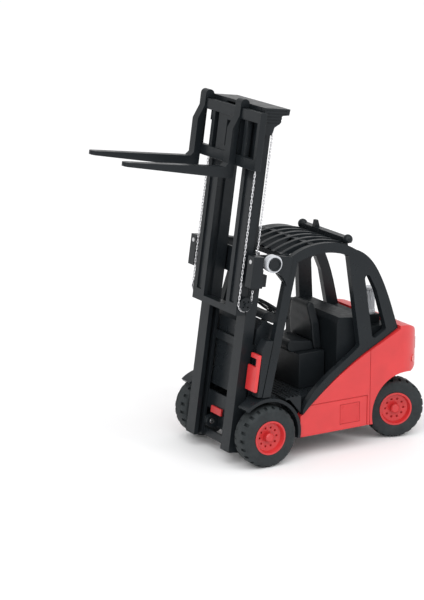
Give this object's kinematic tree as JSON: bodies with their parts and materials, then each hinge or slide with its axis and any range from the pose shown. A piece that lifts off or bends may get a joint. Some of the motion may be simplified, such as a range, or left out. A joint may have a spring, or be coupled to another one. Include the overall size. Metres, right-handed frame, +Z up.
{
  "type": "toy forklift truck",
  "caption": "Toy forklift truck with a red body, black cab frame, telescopic mast with chain loops, sliding forks, steered rear axle and rolling wheels.",
  "frame": {"origin": "centre of the bounding box at floor level", "axes": "+X forwards along the forks, +Y to the truck's left, +Z up"},
  "size_m": [0.241, 0.1, 0.2568],
  "materials": {
    "red_body": "satin",
    "rim_red": "satin",
    "black_frame": "satin",
    "mast_black": "satin",
    "chain_silver": "satin",
    "seat_black": "matte",
    "engine_black": "satin",
    "hatch_red": "satin",
    "release_red": "satin",
    "tyre_rubber": "matte",
    "steel": "satin",
    "silver": "gloss",
    "lamp_red": "gloss",
    "reflector_red": "gloss"
  },
  "bodies": {
    "truck": {"chassis": "black_frame", "chassis_screws": "steel", "floor_plate": "black_frame", "front_fender_left": "black_frame", "front_fender_right": "black_frame", "step_tread_left": "black_frame", "step_tread_right": "black_frame", "side_panel_left": "red_body", "side_panel_right": "red_body", "side_hatch_left": "hatch_red", "side_hatch_right": "hatch_red", "hatch_screws": "hatch_red", "counterweight": "red_body", "tail_lamps": "lamp_red", "reflectors": "reflector_red", "cab_side_left": "black_frame", "cab_side_right": "black_frame", "roof_grille": "black_frame", "roof_crossbar": "black_frame", "front_cowl": "black_frame", "dashboard": "black_frame", "steering_column": "black_frame", "seat_pedestal": "seat_black", "seat_cushion": "seat_black", "seat_back": "seat_black", "engine_hood": "engine_black", "engine_cover": "engine_black", "air_filter": "silver", "front_latch": "red_body", "front_axle": "steel", "rear_axle_beam": "black_frame", "mast_pivot_pins": "steel"},
    "front_wheel_left": {"front_tyre_left": "tyre_rubber", "front_rim_left": "rim_red"},
    "front_wheel_right": {"front_tyre_right": "tyre_rubber", "front_rim_right": "rim_red"},
    "knuckle_left": {"steering_knuckle_left": "black_frame"},
    "knuckle_right": {"steering_knuckle_right": "black_frame"},
    "rear_wheel_left": {"rear_tyre_left": "tyre_rubber", "rear_rim_left": "rim_red"},
    "rear_wheel_right": {"rear_tyre_right": "tyre_rubber", "rear_rim_right": "rim_red"},
    "tie_rod": {"tie_rod": "black_frame"},
    "driver_wheel": {"steering_wheel": "black_frame"},
    "mast_outer": {"fixed_mast": "mast_black", "mast_bolts": "steel", "mast_release": "release_red", "chain_anchors": "mast_black"},
    "mast_inner": {"moving_mast": "mast_black", "lift_chain_left": "chain_silver", "lift_chain_right": "chain_silver"},
    "top_pulley_left": {"top_pulley_left": "mast_black"},
    "top_pulley_right": {"top_pulley_right": "mast_black"},
    "bottom_pulley_left": {"bottom_pulley_left": "mast_black"},
    "bottom_pulley_right": {"bottom_pulley_right": "mast_black"},
    "fork_carriage": {"carriage": "mast_black"},
    "left_fork": {"fork_left": "mast_black"},
    "right_fork": {"fork_right": "mast_black"},
    "knob": {"tilt_knob": "mast_black", "knob_ring": "silver"}
  },
  "joints": [
    {"name": "front_wheel_left_spin", "type": "hinge", "parent": "truck", "child": "front_wheel_left", "pos_m": [0.02511, 0.042, 0.022], "axis": [0, 1, 0], "continuous": true},
    {"name": "front_wheel_right_spin", "type": "hinge", "parent": "truck", "child": "front_wheel_right", "pos_m": [0.02511, -0.042, 0.022], "axis": [0, 1, 0], "continuous": true},
    {"name": "steer_left", "type": "hinge", "parent": "truck", "child": "knuckle_left", "pos_m": [-0.09489, 0.019, 0.022], "axis": [0, 0, 1], "range_deg": [-14, 46]},
    {"name": "steer_right", "type": "hinge", "parent": "truck", "child": "knuckle_right", "pos_m": [-0.09489, -0.019, 0.022], "axis": [0, 0, 1], "range_deg": [-14, 46]},
    {"name": "rear_wheel_left_spin", "type": "hinge", "parent": "knuckle_left", "child": "rear_wheel_left", "pos_m": [-0.08943, 0.03803, 0.022], "axis": [0.2756, 0.9613, 0], "continuous": true},
    {"name": "rear_wheel_right_spin", "type": "hinge", "parent": "knuckle_right", "child": "rear_wheel_right", "pos_m": [-0.10035, -0.03803, 0.022], "axis": [0.2756, 0.9613, 0], "continuous": true},
    {"name": "tie_rod_pivot", "type": "hinge", "parent": "knuckle_left", "child": "tie_rod", "pos_m": [-0.08335, 0.01569, 0.046], "axis": [0, 0, 1], "range_deg": [-46, 14]},
    {"name": "steering_wheel_turn", "type": "hinge", "parent": "truck", "child": "driver_wheel", "pos_m": [-0.00339, 0.004, 0.1015], "axis": [-0.6157, 0, 0.788], "continuous": true},
    {"name": "mast_tilt", "type": "hinge", "parent": "truck", "child": "mast_outer", "pos_m": [0.03711, 0, 0.02], "axis": [0, 1, 0], "range_deg": [0, 8]},
    {"name": "tilt_knob_turn", "type": "hinge", "parent": "truck", "child": "knob", "pos_m": [0.01941, 0.042, 0.1452], "axis": [0, 1, 0], "range_deg": [-180, 180]},
    {"name": "mast_lift", "type": "slide", "parent": "mast_outer", "child": "mast_inner", "axis": [-0.1392, 0, 0.9903], "range_m": [-0.098, 0]},
    {"name": "top_pulley_left_spin", "type": "hinge", "parent": "mast_inner", "child": "top_pulley_left", "pos_m": [0.01802, 0.0318, 0.24352], "axis": [0, 1, 0], "range_deg": [-10, 1200]},
    {"name": "top_pulley_right_spin", "type": "hinge", "parent": "mast_inner", "child": "top_pulley_right", "pos_m": [0.01802, -0.0318, 0.24352], "axis": [0, 1, 0], "range_deg": [-10, 1200]},
    {"name": "bottom_pulley_left_spin", "type": "hinge", "parent": "mast_inner", "child": "bottom_pulley_left", "pos_m": [0.0359, 0.0318, 0.11627], "axis": [0, 1, 0], "range_deg": [-10, 1200]},
    {"name": "bottom_pulley_right_spin", "type": "hinge", "parent": "mast_inner", "child": "bottom_pulley_right", "pos_m": [0.0359, -0.0318, 0.11627], "axis": [0, 1, 0], "range_deg": [-10, 1200]},
    {"name": "carriage_lift", "type": "slide", "parent": "mast_inner", "child": "fork_carriage", "axis": [-0.1392, 0, 0.9903], "range_m": [-0.098, 0]},
    {"name": "fork_left_slide", "type": "slide", "parent": "fork_carriage", "child": "left_fork", "axis": [0, 1, 0], "range_m": [-0.004, 0.025]},
    {"name": "fork_right_slide", "type": "slide", "parent": "fork_carriage", "child": "right_fork", "axis": [0, 1, 0], "range_m": [-0.0015, 0.0265]}
  ],
  "couplings": [
    {"joint": "carriage_lift", "follows": "mast_lift", "ratio": 1},
    {"joint": "steer_right", "follows": "steer_left", "ratio": 1},
    {"joint": "tie_rod_pivot", "follows": "steer_left", "ratio": -1},
    {"joint": "top_pulley_left_spin", "follows": "mast_lift", "rad_per_m": -206.19},
    {"joint": "top_pulley_right_spin", "follows": "mast_lift", "rad_per_m": -206.19},
    {"joint": "bottom_pulley_left_spin", "follows": "mast_lift", "rad_per_m": -206.19},
    {"joint": "bottom_pulley_right_spin", "follows": "mast_lift", "rad_per_m": -206.19}
  ]
}
